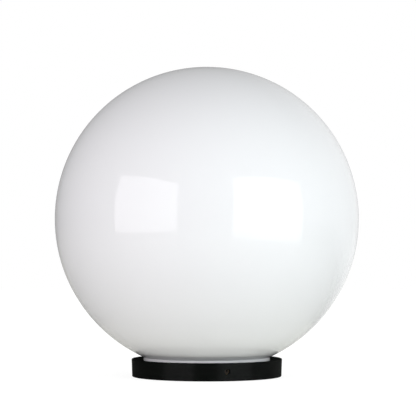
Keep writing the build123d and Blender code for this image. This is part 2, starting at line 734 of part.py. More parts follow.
# Wires: two up through the nipple to the core, and one to the earth lug
wire_start_y = block_face_y - wire_insertion
wire_turn_y = block_face_y + block_to_bracket
wire_turn_z = nipple_foot - wire_drop
for name, pole_x, side in (("live_wire", pole_xs[0], -1), ("neutral_wire", pole_xs[1], 1)):
    lane = side * nipple_wire_spacing / 2
    pieces[name] = wire([
        (pole_x, wire_start_y, sleeve_z),
        (pole_x, wire_turn_y, sleeve_z),
        (lane, 0, wire_turn_z),
        (lane, 0, nipple_top + wire_radius),
        (side * wire_spread, 0, core_foot - wire_core_insertion),
        (side * wire_spread, 0, core_foot + wire_core_insertion)])
pieces["earth_wire"] = wire([
    (pole_xs[2], wire_start_y, sleeve_z),
    (pole_xs[2], block_face_y + wire_diameter, sleeve_z),
    (earth_barrel_x, earth_barrel_mouth - wire_diameter, earth_z),
    (earth_barrel_x, -earth_lug_radius - wire_clearance, earth_z)])

# Lamp: cap, insulator, tip, housing, board and bulb
with BuildPart() as lamp_tip:
    with BuildSketch(Plane.XY.offset(lamp_foot)):
        Circle(lamp_tip_diameter / 2)
    extrude(amount=lamp_tip_height)
    fillet(lamp_tip.edges().group_by(Axis.Z)[0], lamp_tip_round)
pieces["lamp_tip"] = lamp_tip.part

with BuildPart() as lamp_insulator:
    with BuildSketch(Plane.XZ):
        with BuildLine():
            Polyline((0, lamp_insulator_foot), (lamp_tip_diameter / 2, lamp_insulator_foot),
                     (lamp_cap_root, lamp_cap_foot), (0, lamp_cap_foot), close=True)
        make_face()
    revolve(axis=Axis.Z)
pieces["lamp_insulator"] = lamp_insulator.part

with BuildPart() as lamp_cap:
    with BuildSketch(Plane.XZ):
        with BuildLine():
            for turn in range(lamp_cap_turns):
                foot = lamp_cap_foot + turn * lamp_cap_pitch
                ThreePointArc((lamp_cap_root, foot), (lamp_cap_radius, foot + lamp_cap_pitch / 2),
                              (lamp_cap_root, foot + lamp_cap_pitch))
            Polyline((lamp_cap_root, lamp_cap_top), (lamp_cap_bore, lamp_cap_top),
                     (lamp_cap_bore, lamp_cap_foot), (lamp_cap_root, lamp_cap_foot))
        make_face()
    revolve(axis=Axis.Z)
pieces["lamp_cap"] = lamp_cap.part

housing_tail_radius = lamp_cap_bore - seat_fit
housing_bore = housing_tail_radius - lamp_housing_wall
housing_shoulder = lamp_cap_top + lamp_housing_wall
board_seat_radius = board_radius + seat_fit
with BuildPart() as lamp_housing:
    with BuildSketch(Plane.XZ):
        with BuildLine():
            Polyline((housing_bore, lamp_cap_top - lamp_housing_tail),
                     (housing_tail_radius, lamp_cap_top - lamp_housing_tail),
                     (housing_tail_radius, lamp_cap_top), (lamp_cap_radius, lamp_cap_top))
            Bezier((lamp_cap_radius, lamp_cap_top),
                   (lamp_cap_radius, lamp_cap_top + lamp_housing_height / 2),
                   (lamp_rim_radius, lamp_housing_top - lamp_housing_height / 2),
                   (lamp_rim_radius, lamp_housing_top))
            Polyline((lamp_rim_radius, lamp_housing_top), (board_seat_radius, lamp_housing_top),
                     (board_seat_radius, board_foot), (board_seat_radius - board_ledge, board_foot))
            Bezier((board_seat_radius - board_ledge, board_foot),
                   (board_seat_radius - board_ledge, board_foot - lamp_housing_height / 2),
                   (housing_bore, housing_shoulder + lamp_housing_height / 2),
                   (housing_bore, housing_shoulder))
            Line((housing_bore, housing_shoulder), (housing_bore, lamp_cap_top - lamp_housing_tail))
        make_face()
    revolve(axis=Axis.Z)
pieces["lamp_housing"] = lamp_housing.part

with BuildPart() as lamp_led_board:
    with BuildSketch(Plane.XY.offset(board_foot)):
        Circle(board_radius)
    extrude(amount=board_thickness)
pieces["lamp_led_board"] = lamp_led_board.part

with BuildPart() as lamp_led_chips:
    with BuildSketch(Plane.XY.offset(lamp_housing_top)):
        for radius, count in zip(chip_ring_radii, chip_ring_counts):
            with PolarLocations(radius, count):
                Rectangle(chip_size, chip_size)
    extrude(amount=chip_height)
pieces["lamp_led_chips"] = lamp_led_chips.part

bulb_inner_rim = sqrt(lamp_bulb_inner**2 - (lamp_bulb_centre - lamp_housing_top) ** 2)
with BuildPart() as lamp_diffuser:
    with BuildSketch(Plane.XZ):
        with BuildLine():
            ThreePointArc((lamp_rim_radius, lamp_housing_top), (lamp_bulb_radius, lamp_bulb_centre),
                          (0, lamp_bulb_centre + lamp_bulb_radius))
            Line((0, lamp_bulb_centre + lamp_bulb_radius), (0, lamp_bulb_centre + lamp_bulb_inner))
            ThreePointArc((0, lamp_bulb_centre + lamp_bulb_inner), (lamp_bulb_inner, lamp_bulb_centre),
                          (bulb_inner_rim, lamp_housing_top))
            Line((bulb_inner_rim, lamp_housing_top), (lamp_rim_radius, lamp_housing_top))
        make_face()
    revolve(axis=Axis.Z)
pieces["lamp_diffuser"] = lamp_diffuser.part

# One STEP file for each piece
os.makedirs("parts", exist_ok=True)
for name, piece in pieces.items():
    piece.label = name
    export_step(piece, f"parts/{name}.step")
print(len(pieces), "pieces; globe centre", round(globe_centre, 2), "rim top", round(rim_top, 2),
      "lamp top", round(lamp_bulb_centre + lamp_bulb_radius, 2))
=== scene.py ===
import json
from math import acos, cos, degrees, pi, radians, sin, sqrt

import bmesh
import bpy
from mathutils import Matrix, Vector


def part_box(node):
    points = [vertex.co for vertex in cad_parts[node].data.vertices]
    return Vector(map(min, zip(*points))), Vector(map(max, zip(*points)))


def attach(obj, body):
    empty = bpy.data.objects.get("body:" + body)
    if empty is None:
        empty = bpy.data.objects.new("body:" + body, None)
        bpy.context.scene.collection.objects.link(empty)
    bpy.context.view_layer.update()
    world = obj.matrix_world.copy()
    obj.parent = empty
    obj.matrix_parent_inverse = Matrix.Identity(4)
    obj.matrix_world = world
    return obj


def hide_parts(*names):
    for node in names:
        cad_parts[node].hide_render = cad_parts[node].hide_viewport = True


# Looks of the post top light: an opal globe in a black base, with the lampholder and lamp inside.
# Metres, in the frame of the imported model: +Z up, the photograph's front towards -Y.

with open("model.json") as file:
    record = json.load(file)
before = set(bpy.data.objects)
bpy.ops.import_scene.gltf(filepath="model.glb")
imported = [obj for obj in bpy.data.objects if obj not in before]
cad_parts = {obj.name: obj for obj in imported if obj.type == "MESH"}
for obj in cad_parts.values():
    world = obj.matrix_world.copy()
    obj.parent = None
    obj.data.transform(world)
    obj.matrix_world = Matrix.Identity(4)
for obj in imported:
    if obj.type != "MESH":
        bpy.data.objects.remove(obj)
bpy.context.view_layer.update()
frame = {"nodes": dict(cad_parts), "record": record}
nodes = frame["nodes"]
scene = bpy.context.scene
scene.view_settings.view_transform = "Standard"

# Sizes of the globe
globe_low, globe_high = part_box("opal_globe")
GLOBE_RADIUS = (globe_high.x - globe_low.x) / 2
GLOBE_CENTRE = Vector((0, 0, globe_high.z - GLOBE_RADIUS))
GLOBE_WALL = 0.003
NECK_RADIUS = 0.0625
NECK_FOOT = globe_low.z
NECK_BLEND = 0.0008
NECK_EDGE_ROUND = 0.0008
NECK_TOP = GLOBE_CENTRE.z - sqrt(GLOBE_RADIUS**2 - NECK_RADIUS**2)

# Steps of the globe's mesh: round its axis, and along each part of its outline
GLOBE_SEGMENTS = 192
GLOBE_OUTER_STEPS = 140
GLOBE_INNER_STEPS = 100
NECK_BLEND_STEPS = 8
NECK_EDGE_STEPS = 6

# Colours of the opal wall: painted light on the neck and just above the band, standing in for light
# scattered inside the milky wall, and painted shade in a band above the neck; and the heights of that band
OPAL = (0.88, 0.885, 0.9)
OPAL_PAINTED_LIGHT = (0.95, 0.955, 0.965)
OPAL_PAINTED_SHADE = (0.86, 0.865, 0.885)
OPAL_SHADE_TOP = NECK_TOP + 0.004
OPAL_SHADE_BLUR = 0.0006
OPAL_PAINT_REACH = 0.055

# Surface of the opal wall: its polish, and its faint waves
OPAL_IOR = 1.49
OPAL_ROUGHNESS = (0.02, 0.04)
OPAL_POLISH_SCALE = 40.0
OPAL_WAVE_SCALE = 22.0
OPAL_WAVE_HEIGHT = 0.0006
OPAL_WAVE_STRENGTH = 0.1

# Black moulding: the radius inside which the base's mouth hides its walls, which are greyer there, and its
# tops, which are painted lighter as painted light on faces that turn upwards. Rises are the upward part of
# the normal, from a wall to a top.
BASE_INSIDE = 0.0635
BASE_INSIDE_BLUR = 0.0005
MOULDING_GREY_AND_TOP_LIGHT = (0.011, 0.012, 0.0115)
MOULDING_TOP_LIGHT_RISE = (0.4, 0.9)
MOULDING_COAT = (0.06, 0.005)  # on walls and on tops
MOULDING_COAT_RISE = (0.1, 0.7)
MOULDING_COAT_ROUGHNESS = 0.2
MOULDING_COAT_IOR = 2.2

# Sizes of the grub screws: pitch and key for each kind
GRUB_SIZES = {"globe_screw": (0.0008, 0.0025), "post_screw": (0.001, 0.003)}
GRUB_THREAD_DEPTH = 0.6  # of the pitch
GRUB_CHAMFER = 0.0005
GRUB_SEGMENTS = 48
GRUB_ROWS_PER_TURN = 8
THREAD_GAIN = 1.3  # steeper than a plain zigzag, and cut off at root and crest
THREAD_CUT = 0.15
KEY_DEPTH = 0.0025
KEY_CONE = 0.25  # of the key, below the socket

# Sizes of the lamp's cap and board
LAMP_THREAD_PITCH = 0.0036
LAMP_THREAD_DEPTH = 0.0008
LAMP_CAP_WALL = 0.0005
LAMP_CAP_SEGMENTS = 96
LAMP_ROWS_PER_TURN = 14
BOARD_TRACK_STEP = 0.004

# Photograph: the globe's centre and radius in its pixels
PHOTO_SIZE = 416
GLOBE_PIXEL = (206.3, 218.4)
GLOBE_PIXELS = 152.0
CAMERA_DISTANCE = 2.0
CAMERA_HEIGHT = 0.142
SENSOR_WIDTH = 36.0

# Softboxes, with their corners as (outwards, height) on their own planes
SOFTBOX_BEARING = 49.0  # degrees to each side of the front
LEFT_DISTANCE = 0.75
LEFT_CORNERS = [(0.244, 0.521), (-0.419, 0.514), (-0.415, 0.033), (0.219, 0.050)]
LEFT_TINT = (1.0, 0.965, 1.0)
LEFT_STRENGTH = 2.38
RIGHT_DISTANCE = 0.65
RIGHT_CORNERS = [(-0.378, 0.529), (0.237, 0.414), (0.223, 0.0), (-0.411, 0.0)]
RIGHT_TINT = (0.95, 1.0, 1.01)
RIGHT_STRENGTH = 2.38

# Soft fills before and behind the object: distance, width, foot and top of each panel
FRONT_PANEL = (-1.2, 1.4, 0.0, 1.2)
FRONT_FILL = 0.83
BACK_PANEL = (0.9, 1.6, 0.1, 1.1)
BACK_FILL = 1.14

# Room light from the front and the back, and what the right and the top add to it
ROOM_FRONT = 0.12
ROOM_BACK = 0.29
ROOM_RIGHT = 0.4
ROOM_TOP = 0.3

# White backdrop that gloss sees: where its middle is, and the cosines of the angle from there at which it
# ends and is full
BACKDROP_BEARING = 40.0  # degrees to the right of straight behind
BACKDROP_RISE = 4.0  # degrees upwards
BACKDROP_EDGE = 0.76
BACKDROP_FULL = 0.97

# Table and floor. Each reach is the distances from the object between which a change happens.
TABLE_LOW = (-0.155, -0.19)
TABLE_HIGH = (0.155, 0.6)
TABLE_HEIGHT = -0.0002
TABLE_COLOR = (0.9, 0.9, 0.84)
FLOOR_HALF = 3.0
FLOOR_HEIGHT = -0.0005
FLOOR_COLOR = (0.65, 0.65, 0.62)
FLOOR_ROUGHNESS = (0.2, 0.7)  # polished near the object, matt farther out
FLOOR_POLISH_REACH = (0.35, 0.5)
FLOOR_WHITE = 0.90  # what the camera sees of the floor in full shadow near the object
FLOOR_WHITE_REACH = (0.25, 0.6)
FLOOR_SHADE = 0.17  # how much light adds to that

# Meshes
SHARP_ANGLE = radians(35)
NO_RADIUS = 1e-7

# Noise: levels between which nearly all of it lies, and its detail in patches and in grain
NOISE_LOW, NOISE_HIGH = 0.3, 0.7
PATCH_DETAIL = 3.0
GRAIN_DETAIL = 2.0

WHITE = (1.0, 1.0, 1.0)


# Mesh helpers
def link(obj):
    scene.collection.objects.link(obj)
    return obj


def arc(centre, radius, start, end, count):
    """Points of an arc in the (radius, height) plane, from one bearing in degrees to another."""
    steps = [radians(start + (end - start) * n / count) for n in range(count + 1)]
    return [(centre[0] + radius * cos(a), centre[1] + radius * sin(a)) for a in steps]


def skin(name, rings, loop=False):
    """A smooth mesh through rings of points, with its corners sharp.
    A ring of one point closes the mesh at a pole, and a loop joins the last ring to the first."""
    mesh = bmesh.new()
    rows = [[mesh.verts.new(point) for point in ring] for ring in rings]
    following = rows[1:] + rows[:1] if loop else rows[1:]
    for upper, lower in zip(rows, following):
        for n in range(max(len(upper), len(lower))):
            corners = [upper[n % len(upper)], lower[n % len(lower)],
                       lower[(n + 1) % len(lower)], upper[(n + 1) % len(upper)]]
            mesh.faces.new(list(dict.fromkeys(corners)))
    bmesh.ops.recalc_face_normals(mesh, faces=mesh.faces)
    for face in mesh.faces:
        face.smooth = True
    for edge in mesh.edges:
        edge.smooth = edge.calc_face_angle(0) < SHARP_ANGLE
    data = bpy.data.meshes.new(name)
    mesh.to_mesh(data)
    mesh.free()
    return link(bpy.data.objects.new(name, data))


def turned_ring(radius, height, segments):
    """A ring about the axis, or its one point where it has no radius."""
    if radius < NO_RADIUS:
        return [(0, 0, height)]
    turns = [2 * pi * n / segments for n in range(segments)]
    return [(radius * cos(turn), radius * sin(turn), height) for turn in turns]


def lathe(name, outline, segments):
    """A mesh turned about the axis from (radius, height) points."""
    return skin(name, [turned_ring(radius, height, segments) for radius, height in outline])


# Node helpers
def start_material(name, color, roughness, metallic=0.0, specular=0.5):
    material = bpy.data.materials.new(name)
    material.use_nodes = True
    shader = material.node_tree.nodes["Principled BSDF"]
    shader.inputs["Base Color"].default_value = (*color, 1.0)
    shader.inputs["Roughness"].default_value = roughness
    shader.inputs["Metallic"].default_value = metallic
    shader.inputs["Specular IOR Level"].default_value = specular
    return material, material.node_tree, shader


def add_node(tree, kind, inputs=None, **settings):
    node = tree.nodes.new(kind)
    for name, value in settings.items():
        setattr(node, name, value)
    for name, value in (inputs or {}).items():
        node.inputs[name].default_value = value
    return node


def object_place(tree, stretch=(1.0, 1.0, 1.0)):
    """The piece's own coordinates in metres, so that its finish moves with it."""
    place = add_node(tree, "ShaderNodeTexCoord")
    mapping = add_node(tree, "ShaderNodeMapping", {"Scale": stretch})
    tree.links.new(place.outputs["Object"], mapping.inputs["Vector"])
    return mapping.outputs["Vector"]


def noise(tree, place, scale, detail=PATCH_DETAIL):
    node = add_node(tree, "ShaderNodeTexNoise", {"Scale": scale, "Detail": detail})
    tree.links.new(place, node.inputs["Vector"])
    return node.outputs["Fac"]


def split_axes(tree, vector):
    """The outputs X, Y and Z of a vector."""
    node = add_node(tree, "ShaderNodeSeparateXYZ")
    tree.links.new(vector, node.inputs["Vector"])
    return node.outputs


def length_of(tree, vector):
    node = add_node(tree, "ShaderNodeVectorMath", operation="LENGTH")
    tree.links.new(vector, node.inputs[0])
    return node.outputs["Value"]


def ramp(tree, value, stops):
    """Colours along a value from 0 to 1."""
    node = add_node(tree, "ShaderNodeValToRGB")
    elements = node.color_ramp.elements
    while len(elements) < len(stops):
        elements.new(0.5)
    for element, (position, color) in zip(elements, stops):
        element.position = position
        element.color = (*color, 1.0)
    tree.links.new(value, node.inputs["Fac"])
    return node.outputs["Color"]


def spread(tree, value, low, high, start=NOISE_LOW, end=NOISE_HIGH):
    """A value between start and end, spread from low to high."""
    node = add_node(tree, "ShaderNodeMapRange", {"From Min": start, "From Max": end,
                                                 "To Min": low, "To Max": high})
    tree.links.new(value, node.inputs["Value"])
    return node.outputs["Result"]


def bump(tree, shader, height, distance, strength=1.0):
    node = add_node(tree, "ShaderNodeBump", {"Distance": distance, "Strength": strength})
    tree.links.new(height, node.inputs["Height"])
    tree.links.new(node.outputs["Normal"], shader.inputs["Normal"])


def dress(material, *names):
    for name in names:
        nodes[name].material_slots[0].material = material


# Camera
def add_camera():
    """A level camera that puts the globe where the photograph has it."""
    camera = link(bpy.data.objects.new("camera", bpy.data.cameras.new("camera")))
    camera.location = (0, -CAMERA_DISTANCE, CAMERA_HEIGHT)
    camera.rotation_euler = (pi / 2, 0, 0)
    focal_pixels = GLOBE_PIXELS * sqrt(CAMERA_DISTANCE**2 - GLOBE_RADIUS**2) / GLOBE_RADIUS
    drop = focal_pixels * (CAMERA_HEIGHT - GLOBE_CENTRE.z) / CAMERA_DISTANCE
    camera.data.sensor_width = SENSOR_WIDTH
    camera.data.lens = SENSOR_WIDTH * focal_pixels / PHOTO_SIZE
    camera.data.shift_x = 0.5 - (GLOBE_PIXEL[0] + 0.5) / PHOTO_SIZE
    camera.data.shift_y = (GLOBE_PIXEL[1] + 0.5 - drop) / PHOTO_SIZE - 0.5
    scene.camera = camera


# Studio
def bare_material(name):
    """A material with nothing linked to its output."""
    material = bpy.data.materials.new(name)
    material.use_nodes = True
    tree = material.node_tree
    tree.nodes.remove(tree.nodes["Principled BSDF"])
    return material, tree, tree.nodes["Material Output"].inputs["Surface"]


def emitter(name, color, strength):
    material, tree, surface = bare_material(name)
    glow = add_node(tree, "ShaderNodeEmission", {"Color": (*color, 1.0), "Strength": strength})
    tree.links.new(glow.outputs["Emission"], surface)
    return material


def flat_panel(name, corners, material):
    data = bpy.data.meshes.new(name)
    data.from_pydata(corners, [], [range(len(corners))])
    data.materials.append(material)
    obj = link(bpy.data.objects.new(name, data))
    return obj


def softbox(name, side, distance, corners, color, strength):
    """A softbox beside the camera, on side -1 or 1, that faces the object."""
    bearing = radians(SOFTBOX_BEARING)
    facing = Vector((side * sin(bearing), -cos(bearing), 0))
    outwards = Vector((side * cos(bearing), sin(bearing), 0))
    points = [facing * distance + outwards * across + Vector((0, 0, height))
              for across, height in corners]
    flat_panel(name, points, emitter(name, color, strength)).visible_camera = False


def add_softboxes():
    softbox("softbox_left", -1, LEFT_DISTANCE, LEFT_CORNERS, LEFT_TINT, LEFT_STRENGTH)
    softbox("softbox_right", 1, RIGHT_DISTANCE, RIGHT_CORNERS, RIGHT_TINT, RIGHT_STRENGTH)


def soft_fill(name, distance, width, foot, top, strength):
    """A broad light before or behind the object that doesn't show as a reflection."""
    corners = [(-width / 2, distance, foot), (width / 2, distance, foot),
               (width / 2, distance, top), (-width / 2, distance, top)]
    light = flat_panel(name, corners, emitter(name, WHITE, strength))
    light.visible_camera = False
    light.visible_glossy = False


def add_fills():
    soft_fill("front_fill", *FRONT_PANEL, FRONT_FILL)
    soft_fill("back_fill", *BACK_PANEL, BACK_FILL)


def shows_white(tree, way):
    """1 for rays that meet the white background: the camera's, and those of gloss and glass that go towards
    the backdrop. The way is from the globe to what the ray meets."""
    turn, rise = radians(BACKDROP_BEARING), radians(BACKDROP_RISE)
    middle = (sin(turn) * cos(rise), cos(turn) * cos(rise), sin(rise))
    direction = add_node(tree, "ShaderNodeVectorMath", operation="NORMALIZE")
    along = add_node(tree, "ShaderNodeVectorMath", {1: middle}, operation="DOT_PRODUCT")
    tree.links.new(way, direction.inputs[0])
    tree.links.new(direction.outputs["Vector"], along.inputs[0])
    backdrop = spread(tree, along.outputs["Value"], 0.0, 1.0, BACKDROP_EDGE, BACKDROP_FULL)
    rays = add_node(tree, "ShaderNodeLightPath")
    shiny = add_node(tree, "ShaderNodeMath", operation="ADD")
    shown = add_node(tree, "ShaderNodeMath", operation="MULTIPLY_ADD", use_clamp=True)
    tree.links.new(rays.outputs["Is Glossy Ray"], shiny.inputs[0])
    tree.links.new(rays.outputs["Is Transmission Ray"], shiny.inputs[1])
    tree.links.new(shiny.outputs["Value"], shown.inputs[0])
    tree.links.new(backdrop, shown.inputs[1])
    tree.links.new(rays.outputs["Is Camera Ray"], shown.inputs[2])
    return shown.outputs["Value"]


def mix_shaders(tree, share, first, second, surface):
    """Two shaders, the second in the given share, on a surface."""
    mix = add_node(tree, "ShaderNodeMixShader")
    tree.links.new(share, mix.inputs["Fac"])
    tree.links.new(first, mix.inputs[1])
    tree.links.new(second, mix.inputs[2])
    tree.links.new(mix.outputs["Shader"], surface)


def add_world():
    """Pale room light with a white background."""
    world = bpy.data.worlds.new("studio")
    scene.world = world
    world.use_nodes = True
    tree = world.node_tree
    room = tree.nodes["Background"]
    room.inputs["Color"].default_value = (*WHITE, 1.0)
    way = add_node(tree, "ShaderNodeTexCoord").outputs["Generated"]
    axes = split_axes(tree, way)
    level = spread(tree, axes["Y"], ROOM_FRONT, ROOM_BACK, -1.0, 1.0)
    for side, extra in (("X", ROOM_RIGHT), ("Z", ROOM_TOP)):
        total = add_node(tree, "ShaderNodeMath", operation="ADD")
        tree.links.new(level, total.inputs[0])
        tree.links.new(spread(tree, axes[side], 0.0, extra, 0.0, 1.0), total.inputs[1])
        level = total.outputs["Value"]
    tree.links.new(level, room.inputs["Strength"])
    white = add_node(tree, "ShaderNodeBackground", {"Color": (*WHITE, 1.0), "Strength": 1.0})
    mix_shaders(tree, shows_white(tree, way), room.outputs["Background"], white.outputs["Background"],
                tree.nodes["World Output"].inputs["Surface"])


def floor_material(name, color):
    """A floor that the camera sees as white, with the object's soft shadow."""
    material, tree, surface = bare_material(name)
    place = object_place(tree)
    reach = length_of(tree, place)
    lit = add_node(tree, "ShaderNodeBsdfPrincipled", {"Base Color": (*color, 1.0)})
    seen = add_node(tree, "ShaderNodeBsdfDiffuse", {"Color": (FLOOR_SHADE, FLOOR_SHADE, FLOOR_SHADE, 1.0)})
    white = add_node(tree, "ShaderNodeEmission")
    tree.links.new(spread(tree, reach, FLOOR_WHITE, 1.0, *FLOOR_WHITE_REACH), white.inputs["Strength"])
    tree.links.new(spread(tree, reach, *FLOOR_ROUGHNESS, *FLOOR_POLISH_REACH), lit.inputs["Roughness"])
    both = add_node(tree, "ShaderNodeAddShader")
    tree.links.new(seen.outputs["BSDF"], both.inputs[0])
    tree.links.new(white.outputs["Emission"], both.inputs[1])
    way = add_node(tree, "ShaderNodeVectorMath", {1: GLOBE_CENTRE}, operation="SUBTRACT")
    tree.links.new(place, way.inputs[0])
    mix_shaders(tree, shows_white(tree, way.outputs["Vector"]), lit.outputs["BSDF"], both.outputs["Shader"],
                surface)
    return material


def flat_sheet(name, low, high, height, color):
    corners = [(low[0], low[1], height), (high[0], low[1], height),
               (high[0], high[1], height), (low[0], high[1], height)]
    flat_panel(name, corners, floor_material(name, color))


def add_floor():
    flat_sheet("table_top", TABLE_LOW, TABLE_HIGH, TABLE_HEIGHT, TABLE_COLOR)
    flat_sheet("floor", (-FLOOR_HALF, -FLOOR_HALF), (FLOOR_HALF, FLOOR_HALF), FLOOR_HEIGHT, FLOOR_COLOR)


# Globe
def opal_acrylic():
    """Glossy opal acrylic. A dimmer band above the neck is painted shade, standing in for the shade of the
    base's spigot behind the milky wall. The neck and the wall just above the band are painted lighter, as
    painted light standing in for light scattered inside the wall.
    """
    material, tree, shader = start_material("opal_acrylic", OPAL, OPAL_ROUGHNESS[1])
    shader.inputs["IOR"].default_value = OPAL_IOR
    place = object_place(tree)
    rise = spread(tree, split_axes(tree, place)["Z"], 0.0, 1.0, 0.0, OPAL_PAINT_REACH)
    joint, edge = NECK_TOP / OPAL_PAINT_REACH, OPAL_SHADE_TOP / OPAL_PAINT_REACH
    blur = OPAL_SHADE_BLUR / OPAL_PAINT_REACH
    # Painted light on the neck, painted shade in the band above it, painted light again above the band,
    # fading to the plain opal colour higher up
    bands = [(joint - blur, OPAL_PAINTED_LIGHT), (joint, OPAL_PAINTED_SHADE), (edge - blur, OPAL_PAINTED_SHADE),
             (edge + blur, OPAL_PAINTED_LIGHT), (1.0, OPAL)]
    tree.links.new(ramp(tree, rise, bands), shader.inputs["Base Color"])
    polish = noise(tree, place, OPAL_POLISH_SCALE)
    tree.links.new(spread(tree, polish, *OPAL_ROUGHNESS), shader.inputs["Roughness"])
    waves = noise(tree, place, OPAL_WAVE_SCALE, GRAIN_DETAIL)
    bump(tree, shader, waves, OPAL_WAVE_HEIGHT, OPAL_WAVE_STRENGTH)
    return material


def add_globe():
    inner_radius = GLOBE_RADIUS - GLOBE_WALL
    inner_neck = NECK_RADIUS - GLOBE_WALL
    centre = (0.0, GLOBE_CENTRE.z)
    blend_radius = NECK_RADIUS + NECK_BLEND
    blend_drop = sqrt((GLOBE_RADIUS + NECK_BLEND)**2 - blend_radius**2)
    blend_centre = (blend_radius, centre[1] - blend_drop)
    blend_bearing = degrees(acos(blend_radius / (GLOBE_RADIUS + NECK_BLEND)))
    inner_bearing = degrees(acos(inner_neck / inner_radius))
    edge_height = NECK_FOOT + NECK_EDGE_ROUND
    outer_edge = (NECK_RADIUS - NECK_EDGE_ROUND, edge_height)
    inner_edge = (inner_neck + NECK_EDGE_ROUND, edge_height)
    outline = arc(centre, GLOBE_RADIUS, 90, -blend_bearing, GLOBE_OUTER_STEPS)
    outline += arc(blend_centre, NECK_BLEND, 180 - blend_bearing, 180, NECK_BLEND_STEPS)
    outline += arc(outer_edge, NECK_EDGE_ROUND, 0, -90, NECK_EDGE_STEPS)
    outline += arc(inner_edge, NECK_EDGE_ROUND, -90, -180, NECK_EDGE_STEPS)
    outline += arc(centre, inner_radius, -inner_bearing, 90, GLOBE_INNER_STEPS)
    globe = lathe("opal_globe_shell", outline, GLOBE_SEGMENTS)
    globe.data.materials.append(opal_acrylic())
    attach(globe, "globe")
    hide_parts("opal_globe")


# Threaded pieces
def thread_wave(turns):
    """Height of a cut thread along its turns, from 0 at the root to 1 at the crest, with short flats."""
    rise = 1 - abs(2 * (turns % 1) - 1)
    return min(max(THREAD_GAIN * rise - THREAD_CUT, 0.0), 1.0)


def grub_screw(name, axis, pitch, key):
    """A grub screw with a cut thread and a hexagon socket, in the place of its plain node."""
    places = [corner.co.copy() for corner in nodes[name].data.vertices]
    low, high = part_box(name)
    middle = (low + high) / 2
    across = Vector((-axis.y, axis.x, 0))
    along = [(place - middle).dot(axis) for place in places]
    tip, end = min(along), max(along)
    crest = (high.z - low.z) / 2
    turns = [2 * pi * n / GRUB_SEGMENTS for n in range(GRUB_SEGMENTS)]

    def ring(place, radii):
        return [middle + axis * place + across * (radius * cos(turn)) + Vector((0, 0, radius * sin(turn)))
                for radius, turn in zip(radii, turns)]

    def thread_radius(place, turn):
        cut = crest - GRUB_THREAD_DEPTH * pitch * (1 - thread_wave(place / pitch - turn / (2 * pi)))
        return min(cut, crest - GRUB_CHAMFER + min(place - tip, end - place))

    rows = round((end - tip) / pitch * GRUB_ROWS_PER_TURN)
    rings = [[middle + axis * tip]]
    for row in range(rows + 1):
        place = tip + (end - tip) * row / rows
        rings.append(ring(place, [thread_radius(place, turn) for turn in turns]))
    socket = [key / 2 / cos(turn % (pi / 3) - pi / 6) for turn in turns]
    rings.append(ring(end, socket))
    rings.append(ring(end - KEY_DEPTH, socket))
    rings.append([middle + axis * (end - KEY_DEPTH - KEY_CONE * key)])
    return skin(f"{name}_thread", rings)


def add_grub_screws():
    steel = dark_steel()
    for joint in frame["record"]["behaviour"]["joints"]:
        name = joint["child"]
        if name in ("globe", "lamp"):
            continue
        pitch, key = GRUB_SIZES[name[:-2]]
        screw = grub_screw(name, Vector(joint["axis"]), pitch, key)
        screw.data.materials.append(steel)
        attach(screw, name)
        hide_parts(name)


def add_lamp_cap():
    """The lamp's cap, with its rolled thread as one helix in place of the node's rings."""
    low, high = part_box("lamp_cap")
    root = high.x - LAMP_THREAD_DEPTH
    turns = [2 * pi * n / LAMP_CAP_SEGMENTS for n in range(LAMP_CAP_SEGMENTS)]
    rows = round((high.z - low.z) / LAMP_THREAD_PITCH * LAMP_ROWS_PER_TURN)
    rings = []
    for row in range(rows + 1):
        height = low.z + (high.z - low.z) * row / rows
        runout = min(1.0, (height - low.z) / LAMP_THREAD_PITCH, (high.z - height) / LAMP_THREAD_PITCH)
        ring = []
        for turn in turns:
            wave = (1 - cos(2 * pi * height / LAMP_THREAD_PITCH - turn)) / 2
            radius = root + LAMP_THREAD_DEPTH * runout * wave
            ring.append((radius * cos(turn), radius * sin(turn), height))
        rings.append(ring)
    bore = root - LAMP_CAP_WALL
    rings += [turned_ring(bore, height, LAMP_CAP_SEGMENTS) for height in (high.z, low.z)]
    metal = lamp_cap_metal()
    cap = skin("lamp_cap_thread", rings, loop=True)
    cap.data.materials.append(metal)
    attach(cap, "lamp")
    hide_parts("lamp_cap")
    dress(metal, "lamp_tip")


# Finishes
def grained(name, dark, light, roughness, patches, grain, relief, stretch=(1, 1, 1), **shader_values):
    """A finish that varies in patches between two colours, with a fine grain in relief.
    Patches and grain are noise scales in each metre, and relief is in metres."""
    material, tree, shader = start_material(name, light, roughness[0], **shader_values)
    patch = noise(tree, object_place(tree), patches)
    tree.links.new(ramp(tree, patch, [(NOISE_LOW, dark), (NOISE_HIGH, light)]), shader.inputs["Base Color"])
    tree.links.new(spread(tree, patch, *roughness), shader.inputs["Roughness"])
    bump(tree, shader, noise(tree, object_place(tree, stretch), grain, GRAIN_DETAIL), relief)
    return material


def scatter(material, weight, radius):
    """Lets a little light into a material."""
    shader = material.node_tree.nodes["Principled BSDF"]
    shader.inputs["Subsurface Weight"].default_value = weight
    shader.inputs["Subsurface Radius"].default_value = radius
    return material


